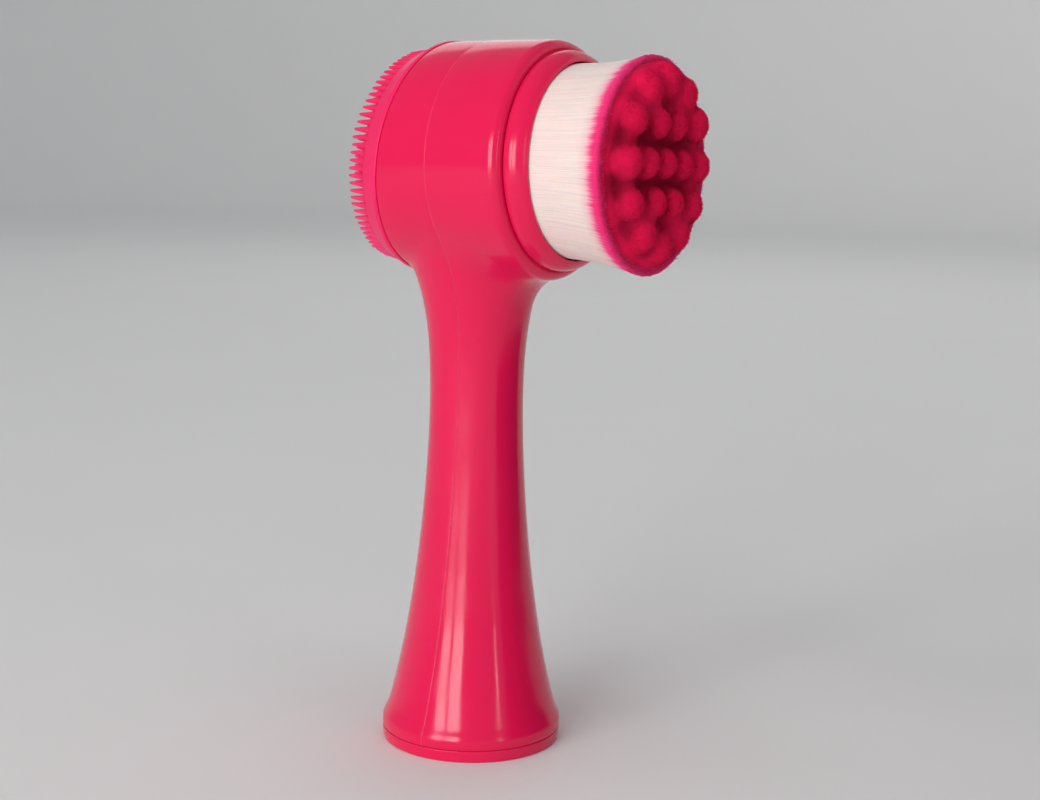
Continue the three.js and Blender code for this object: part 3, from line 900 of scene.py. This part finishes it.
class BRUSH_OT_fibre_skirt(bpy.types.Operator):
    """Build the outside of the fibre bundle, with its rim and soft ridges along the fibres"""

    bl_idname = "cleansing_brush.fibre_skirt"
    bl_label = "Fibre Skirt"

    def execute(self, context):
        scene = context.scene
        body, head = scene.brush_body, scene.brush_head
        random = np.random.default_rng(11)
        segments = 1200
        x = np.concatenate([
            np.linspace(bundle_low.x, 24 * MM, 4)[:-1],
            np.linspace(24 * MM, head.rim_x - 1.2 * MM, 36),
        ])
        crown_radius = head.rim_radius - RIM_ROUNDING - 0.1 * MM
        crown = np.array(arc(head.rim_x - RIM_ROUNDING, crown_radius, RIM_ROUNDING, 76, -50, steps=12))
        outline = np.concatenate([
            [[bundle_low.x, 0]],
            np.stack([x, skirt_radius(head, x)], -1),
            crown[:, :2],
            [[head.rim_x - TUFT_DEPTH, head.rim_radius - 3.2 * MM], [head.rim_x - TUFT_DEPTH, 0]],
        ])
        outline = np.concatenate([outline, 0 * outline[:, :1]], 1)
        rows = len(outline)
        grown = np.clip((outline[:, 0] - 25 * MM) / (18 * MM), 0, 1)[:, None]
        ridge = smooth_noise(random, (1, segments, 600)) * 0.04 * MM
        clump = smooth_noise(random, (1, segments, 90)) * 0.07 * MM
        drift = smooth_noise(random, (rows, segments, 240)) * 0.015 * MM
        spread = (ridge + clump * grown + drift) * (0.35 + 0.65 * grown)
        spread = spread * np.clip(outline[:, 1:2] / head.rim_radius, 0, 1) ** 2
        points = round_barrel(outline, segments, body.barrel_height, spread)
        tips = np.clip((outline[:, 0] - head.rim_x + 1.5 * MM) / (1.5 * MM), 0, 1)[:, None]
        points[..., 0] += tips * random.normal(size=(rows, segments)) * 0.08 * MM
        points[..., 2] += hang(head, points[..., 0])
        piece = make_piece("fibre_skirt", [grid(points, wrap_columns=True)], math.radians(180))
        shades = scene.brush_finishes
        material = brush_fibres(FIBRE_FINISH, shades.pale_fibre, shades.dyed_fibre, head, body.barrel_height)
        finish_piece(piece, "brush_head", "pale_fibre", material, "fibre_bundle")
        return {"FINISHED"}


class BRUSH_OT_loose_fibres(bpy.types.Operator):
    """Build the single fibres that stand out of the bundle's side and rim"""

    bl_idname = "cleansing_brush.loose_fibres"
    bl_label = "Loose Fibres"

    def execute(self, context):
        scene = context.scene
        body, head = scene.brush_body, scene.brush_head
        random = np.random.default_rng(23)
        count = head.skirt_fibres
        turn = random.uniform(0, 2 * np.pi, count)
        at_rim = random.uniform(size=count) < 0.85
        rim_root = head.rim_x - random.uniform(1.0, 3.0, count) * MM
        x = np.where(at_rim, rim_root, random.uniform(28, 37, count) * MM)
        depth = np.where(at_rim, random.uniform(0, 1, count) ** 1.5 * 1.5 * MM, 0)
        out = np.stack([0 * turn, np.cos(turn), np.sin(turn)], -1)
        roots = out * (skirt_radius(head, x) - 0.03 * MM - depth)[:, None]
        roots += np.stack([x, 0 * x, body.barrel_height + hang(head, x)], -1)
        rim_splay = 0.06 + 0.07 * random.normal(size=count)
        splay = np.where(at_rim, rim_splay, 0.045 + 0.02 * random.normal(size=count))
        directions = np.array([1.0, 0, 0]) + out * splay[:, None] + 0.03 * random.normal(size=(count, 3))
        to_rim = head.rim_x + 0.15 * MM + depth * 0.35 - x
        lengths = np.where(at_rim, to_rim, random.uniform(3, 6, count) * MM)
        lengths = lengths + random.normal(size=count) * 0.18 * MM
        droop = out * (random.normal(size=count) * 0.08 * MM)[:, None]
        thickness = random.uniform(0.035, 0.055, count) * MM
        surface = fibres(roots, directions, lengths, thickness, droop)
        piece = make_piece("loose_fibres", [surface], math.radians(180))
        finish_piece(piece, "brush_head", "pale_fibre", bpy.data.materials[FIBRE_FINISH])
        return {"FINISHED"}


class BRUSH_OT_fibre_face(bpy.types.Operator):
    """Build the velvety face between the domes"""

    bl_idname = "cleansing_brush.fibre_face"
    bl_label = "Fibre Face"

    def execute(self, context):
        """A disc: a flat base, plus a bell e^(-(d / spread)^2) for each dome, and a raised edge at the rim."""
        scene = context.scene
        body, head = scene.brush_body, scene.brush_head
        random = np.random.default_rng(31)
        columns = 480
        radius = np.linspace(0, head.rim_radius - 1.0 * MM, 84)[::-1][:, None]
        angle = np.linspace(0, 2 * np.pi, columns, endpoint=False)
        y = radius * np.cos(angle)
        up = radius * np.sin(angle)
        base = head.rim_x - 1.5 * MM
        x = np.full(y.shape, base)
        for _, centre_x, centre_y, centre_z, size in dome_places(head):
            distance = np.hypot(y - centre_y, up - (centre_z - body.barrel_height + head.droop))
            lift = centre_x + size * 0.86 - base
            spread = size * 1.08
            x += lift * np.exp(-((distance / spread) ** 2))
        edge = rise_to((radius - head.rim_radius + 6.0 * MM) / (4.2 * MM))
        x = np.maximum(x, x * (1 - edge) + (head.rim_x - 0.15 * MM) * edge)
        outside = rise_to((radius - head.rim_radius + 2.2 * MM) / (1.4 * MM))
        x = x * (1 - outside) + (head.rim_x - 0.45 * MM) * outside
        x += random.normal(size=x.shape) * 0.05 * MM * (radius > 0.3 * MM)
        top = np.stack([x, y, body.barrel_height + up - head.droop], -1)
        under = top[::-1].copy()
        under[..., 0] = head.rim_x - 3.6 * MM
        surface = grid(np.concatenate([top, under[[0, -1]]]), wrap_columns=True)
        piece = make_piece("fibre_face", [surface], math.radians(180))
        material = velvet_tips("velvet_face", scene.brush_finishes.dyed_fibre, head, body.barrel_height)
        finish_piece(piece, "brush_head", "dyed_fibre", material)
        return {"FINISHED"}


class BRUSH_OT_fibre_domes(bpy.types.Operator):
    """Build the rounded fibre clusters, one piece for each"""

    bl_idname = "cleansing_brush.fibre_domes"
    bl_label = "Fibre Domes"

    def execute(self, context):
        scene = context.scene
        body, head = scene.brush_body, scene.brush_head
        material = velvet_tips("velvet_tips", scene.brush_finishes.dyed_fibre, head, body.barrel_height)
        for number, (node, x, y, z, radius) in enumerate(dome_places(head)):
            surfaces = self.dome(head, np.array([x, y, z]), radius, number)
            piece = make_piece(f"fibre_dome_{number + 1:02d}", surfaces, math.radians(180))
            finish_piece(piece, "brush_head", "dyed_fibre", material, node)
        return {"FINISHED"}

    def dome(self, head, centre, radius, seed):
        """A closed dome on a short shaft, roughened by soft noise, and a coat of short fibres.

        Its rows run from the foot up the shaft and over half an ellipsoid to the tip.
        """
        random = np.random.default_rng(100 + seed)
        columns = 72
        radius = radius * (1 + 0.025 * random.normal())
        height = radius * DOME_HEIGHT
        rise = np.linspace(0, np.pi / 2, 26)
        foot_x = head.rim_x - TUFT_DEPTH
        shaft_x = np.array([foot_x, foot_x, head.rim_x - 2 * MM, centre[0] - 0.4 * MM])
        shaft = np.array([0, 0.9, 0.96, 0.995]) * radius
        along = np.concatenate([shaft_x, centre[0] + height * np.sin(rise)])
        across = np.concatenate([shaft, radius * np.cos(rise)])
        turn = np.linspace(0, 2 * np.pi, columns, endpoint=False)
        lump = smooth_noise(random, (1, columns, 7)) * 0.035
        lump = lump + smooth_noise(random, (len(along), columns, 30)) * 0.010
        reach = across[:, None] * (1 + lump * (across[:, None] / radius))
        points = np.stack([
            along[:, None] + 0 * turn,
            centre[1] + reach * np.cos(turn),
            centre[2] + reach * np.sin(turn),
        ], -1)
        points[4:-1] += random.normal(size=points[4:-1].shape) * 0.025 * MM
        body = grid(points, wrap_columns=True)

        count = head.dome_fibres
        up = random.uniform(0.15, 1, count)
        around = random.uniform(0, 2 * np.pi, count)
        flat = np.sqrt(1 - up**2)
        normal = np.stack([up, flat * np.cos(around), flat * np.sin(around)], -1)
        roots = centre + normal * np.array([height, radius, radius]) * 0.955
        directions = normal * 0.75 + np.array([0.6, 0, 0]) + 0.16 * random.normal(size=(count, 3))
        lengths = random.uniform(0.32, 0.62, count) * MM
        droop = random.normal(size=(count, 3)) * 0.03 * MM
        thickness = random.uniform(0.04, 0.06, count) * MM
        return [body, fibres(roots, directions, lengths, thickness, droop)]


class BRUSH_OT_silicone_pad(bpy.types.Operator):
    """Build the silicone pad with its skirt and nubs"""

    bl_idname = "cleansing_brush.silicone_pad"
    bl_label = "Silicone Pad"

    def execute(self, context):
        scene = context.scene
        body, pad = scene.brush_body, scene.brush_pad
        lean = math.tan(body.pad_lean)
        seam = body.pad_x - body.seam
        face = body.pad_x - pad.depth
        under = face + 1.8 * MM
        crown = 0.35 * MM
        face_radius = pad.edge_radius - 0.9 * MM
        dish = [[face - crown * (1 - s * s), face_radius * s, 0, lean] for s in np.linspace(0, 1, 12)]
        outline = soft_corners([
            *dish,
            [face, pad.edge_radius - 0.1 * MM, 0.7 * MM, lean],
            [seam - 1.15 * MM, pad.seam_radius - 0.16 * MM, 0.12 * MM, lean],
            [seam - 0.95 * MM, pad.seam_radius, 0.12 * MM, lean],
            [seam, pad.seam_radius, 0.22 * MM, lean],
            [seam, pad.recess_radius, 0.2 * MM, lean],
            [under, pad.recess_radius, 0.2 * MM, lean],
            [under, 0, 0, lean],
        ])
        skirt = turned(outline, body)
        nubs = self.nubs(body, pad, face, crown, lean)
        piece = make_piece("nubbed_pad", [skirt, nubs])
        material = soft_silicone("soft_silicone", scene.brush_finishes.silicone, pad, body.pad_x)
        finish_piece(piece, "pad_head", "silicone", material, "silicone_pad")
        return {"FINISHED"}

    def nubs(self, body, pad, face, crown, lean):
        """Rings of tapered nubs, each a stack of circles with the foot's radius times a falling girth.

        Inside the outer ring the nubs stand wider apart, by the factor loose.
        """
        loose = 1.12
        outer = pad.edge_radius - 0.75 * MM
        rings = int(outer / (pad.nub_pitch * loose))
        places = []
        for ring in range(rings + 1):
            radius = outer * (1 - ring / rings)
            pitch = pad.nub_pitch * (1 if ring == 0 else loose)
            count = max(1, round(2 * np.pi * radius / pitch))
            angle = 2 * np.pi * (np.arange(count) + 0.5 * (ring % 2)) / count
            places.append(np.stack([radius * np.cos(angle), radius * np.sin(angle)], -1))
        places = np.concatenate(places)
        edge = np.hypot(*places.T) / outer
        random = np.random.default_rng(5)
        along = np.array([-0.12, -0.12, 0.0, 0.12, 0.45, 0.75, 0.93, 1.0])
        girth = np.array([0, 1.05, 1.0, 0.90, 0.72, 0.53, 0.33, 0])
        turn = 2 * np.pi * np.arange(10) / 10
        size = 1 + 0.02 * random.normal(size=len(places))
        reach = (pad.nub_length * size)[:, None, None] * along[None, :, None]
        radius = pad.nub_radius * girth[None, :, None] * size[:, None, None]
        sway = random.normal(size=(len(places), 2)) * 0.05 * MM
        y = places[:, 0, None, None] + radius * np.cos(turn) + (sway[:, 0, None] * along**2)[..., None]
        up = places[:, 1, None, None] + radius * np.sin(turn) + (sway[:, 1, None] * along**2)[..., None]
        up = up + 0.35 * lean * reach
        base = face - crown * (1 - edge**2)
        x = base[:, None, None] + lean * places[:, 1, None, None] - reach + 0 * turn
        return grid(np.stack([x, y, body.barrel_height + up], -1), wrap_columns=True)


class BRUSH_OT_pad_carrier(bpy.types.Operator):
    """Build the rigid carrier behind the pad"""

    bl_idname = "cleansing_brush.pad_carrier"
    bl_label = "Pad Carrier"

    def execute(self, context):
        scene = context.scene
        body, pad = scene.brush_body, scene.brush_pad
        lean = math.tan(body.pad_lean)
        hub = pad.recess_radius - 0.3 * MM
        back = body.pad_x + pad.recess_depth - 0.6 * MM
        face = body.pad_x - pad.depth + 2.1 * MM
        outline = soft_corners([
            [face, 0, 0, lean],
            [face, hub, 0.4 * MM, lean],
            [back, hub, 0.4 * MM, lean],
            [back, hub - CARRIER_WALL, 0.3 * MM, lean],
            [face + CARRIER_WALL, hub - CARRIER_WALL, 0.5 * MM, lean],
            [face + CARRIER_WALL, 0, 0, lean],
        ])
        piece = make_piece("pad_plate", [turned(outline, body, 288)])
        material = glossy_plastic("glossy_carrier", scene.brush_finishes.plastic, body)
        finish_piece(piece, "pad_head", "cup_plastic", material, "pad_carrier")
        return {"FINISHED"}


class BRUSH_OT_resin(bpy.types.Operator):
    """Give the resin disc behind the fibres its finish"""

    bl_idname = "cleansing_brush.resin"
    bl_label = "Resin Disc"

    def execute(self, context):
        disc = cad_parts["potting_disc"]
        disc.data.materials.clear()
        disc.data.materials.append(cured_resin("cured_resin"))
        return {"FINISHED"}


LIGHT_AIM = 80 * MM
# each softbox: name, (turn from the camera, rise, distance), (width, height), glow, and whether it lights
# matte surfaces and whether glossy ones mirror it
SOFTBOXES = (
    ("window_left", (-44, 9, 1.10), (0.27, 0.46), 7.6, True, True),
    ("window_right", (-24, 9, 1.10), (0.33, 0.46), 7.6, True, True),
    ("strip", (38, 9, 1.20), (0.040, 0.42), 9.0, True, True),
    ("overhead", (10, 80, 1.40), (1.00, 0.80), 1.3, True, False),
    ("back_glow", (165, 32, 1.60), (1.00, 0.60), 0.7, True, False),
    ("back_card", (187, 22, 1.60), (0.80, 1.00), 0.6, False, True),
)


class BRUSH_OT_stage(bpy.types.Operator):
    """Build the floor, the lights and the camera"""

    bl_idname = "cleansing_brush.stage"
    bl_label = "Stage"

    def execute(self, context):
        scene = context.scene
        stage = scene.brush_stage
        self.sweep(scene)
        self.camera(scene, stage)
        self.lights(scene, stage)
        self.card(stage)
        self.surroundings(scene)
        return {"FINISHED"}

    def sweep(self, scene):
        """A round floor that curves up into a wall all round, over a quarter circle at its edge."""
        bend = np.linspace(0, np.pi / 2, 24)
        radius = np.concatenate([[0, 0.5, 1.5], 2.2 + 0.8 * np.sin(bend), [3.0]])
        height = np.concatenate([[0, 0, 0], 0.8 * (1 - np.cos(bend)), [2.6]])
        outline = np.stack([height, radius, 0 * radius], -1)
        vertices, faces = grid(round_handle(outline, 96), wrap_columns=True)
        floor = make_piece("studio_floor", [(vertices - [0, 0, 1e-5], faces[:, ::-1])], math.radians(180))
        floor.data.materials.append(studio_floor("studio_floor", scene.brush_finishes.floor))

    def camera(self, scene, stage):
        """The camera stands off along its azimuth and elevation, and is turned by its yaw, pitch and roll."""
        data = bpy.data.cameras.new("camera")
        data.lens = stage.lens
        data.sensor_width = 36
        data.clip_start = 0.01
        data.clip_end = 50
        camera = bpy.data.objects.new("camera", data)
        scene.collection.objects.link(camera)
        back = self.direction(stage.azimuth, stage.elevation)
        camera.location = Vector((0, 0, stage.aim_height)) + back * stage.distance
        facing = (-back).to_track_quat("-Z", "Y").to_matrix()
        turn = Matrix.Rotation(-stage.yaw, 3, "Y") @ Matrix.Rotation(stage.pitch, 3, "X")
        facing = facing @ turn @ Matrix.Rotation(stage.roll, 3, "Z")
        camera.rotation_euler = facing.to_euler()
        scene.camera = camera

    def direction(self, azimuth, elevation):
        """The unit vector (sin a cos e, -cos a cos e, sin e)."""
        return Vector((
            math.sin(azimuth) * math.cos(elevation),
            -math.cos(azimuth) * math.cos(elevation),
            math.sin(elevation),
        ))

    def lights(self, scene, stage):
        """A broad key without falloff that makes no highlight, and the softboxes."""
        key = bpy.data.lights.new("key", "SUN")
        key.angle = math.radians(62)
        key.energy = 1.4
        key.color = (1.0, 0.98, 0.96)
        self.place_light(scene, key, stage.azimuth, (-50, 24, 2.0), True, False)
        for name, place, size, glow, matte, glossy in SOFTBOXES:
            box = bpy.data.lights.new(name, "AREA")
            box.shape = "RECTANGLE"
            box.size, box.size_y = size
            box.energy = glow * math.pi * size[0] * size[1]
            box.color = (1.0, 0.985, 0.97)
            self.place_light(scene, box, stage.azimuth, place, matte, glossy)

    def place_light(self, scene, data, azimuth, place, matte, glossy):
        """Aims a light at the object from its turn from the camera, its rise and its distance."""
        turn, rise, away = place
        light = bpy.data.objects.new(data.name, data)
        back = self.direction(azimuth + math.radians(turn), math.radians(rise))
        light.location = Vector((0, 0, LIGHT_AIM)) + back * away
        light.rotation_euler = (-back).to_track_quat("-Z", "Y").to_euler()
        light.visible_diffuse = matte
        light.visible_glossy = glossy
        scene.collection.objects.link(light)

    def card(self, stage):
        """A black card that deepens the object's right side, unseen by the camera and without a shadow."""
        middle = Vector((0, 0, 0.09)) + self.direction(stage.azimuth + math.radians(84), 0) * 0.32
        beside = self.direction(stage.azimuth + math.radians(174), 0) * 0.22
        up = Vector((0, 0, 0.16))
        corners = [[middle - beside - up, middle + beside - up], [middle - beside + up, middle + beside + up]]
        card = make_piece("black_card", [grid(corners)])
        finish = Finish("black_card")
        card.data.materials.append(finish.surface(Base_Color=(0.01, 0.01, 0.01), Roughness=0.9))
        card.visible_camera = False
        card.visible_shadow = False

    def surroundings(self, scene):
        """Even, faintly cool light from all round."""
        world = bpy.data.worlds.new("studio_air")
        world.use_nodes = True
        air = world.node_tree.nodes["Background"]
        air.inputs["Color"].default_value = (0.93, 0.96, 1.0, 1)
        air.inputs["Strength"].default_value = 0.30
        scene.world = world
        scene.view_settings.view_transform = "Standard"


class BRUSH_PT_panel(bpy.types.Panel):
    """The buttons that build the pieces, and the sizes and colours"""

    bl_label = "Cleansing Brush"
    bl_idname = "BRUSH_PT_panel"
    bl_space_type = "VIEW_3D"
    bl_region_type = "UI"
    bl_category = "Cleansing Brush"

    def draw(self, context):
        for operator in OPERATORS:
            self.layout.operator(operator.bl_idname)
        for name in SETTINGS:
            group = getattr(context.scene, name)
            box = self.layout.box()
            for key in group.__annotations__:
                box.prop(group, key)


OPERATORS = (
    BRUSH_OT_half_shells,
    BRUSH_OT_base_cap,
    BRUSH_OT_brush_cup,
    BRUSH_OT_fibre_skirt,
    BRUSH_OT_loose_fibres,
    BRUSH_OT_fibre_face,
    BRUSH_OT_fibre_domes,
    BRUSH_OT_silicone_pad,
    BRUSH_OT_pad_carrier,
    BRUSH_OT_resin,
    BRUSH_OT_stage,
)
SETTINGS = {
    "brush_body": BodySizes,
    "brush_head": BrushHeadSizes,
    "brush_pad": PadSizes,
    "brush_finishes": Finishes,
    "brush_stage": StageSizes,
}


def register():
    for made in (*SETTINGS.values(), *OPERATORS, BRUSH_PT_panel):
        bpy.utils.register_class(made)
    for name, group in SETTINGS.items():
        setattr(bpy.types.Scene, name, PointerProperty(type=group))


def unregister():
    for name in SETTINGS:
        delattr(bpy.types.Scene, name)
    for made in (BRUSH_PT_panel, *OPERATORS[::-1], *list(SETTINGS.values())[::-1]):
        bpy.utils.unregister_class(made)


def main():
    register()
    bpy.ops.cleansing_brush.half_shells()
    bpy.ops.cleansing_brush.base_cap()
    bpy.ops.cleansing_brush.brush_cup()
    bpy.ops.cleansing_brush.fibre_skirt()
    bpy.ops.cleansing_brush.loose_fibres()
    bpy.ops.cleansing_brush.fibre_face()
    bpy.ops.cleansing_brush.fibre_domes()
    bpy.ops.cleansing_brush.silicone_pad()
    bpy.ops.cleansing_brush.pad_carrier()
    bpy.ops.cleansing_brush.resin()
    bpy.ops.cleansing_brush.stage()


if __name__ == "__main__":
    main()
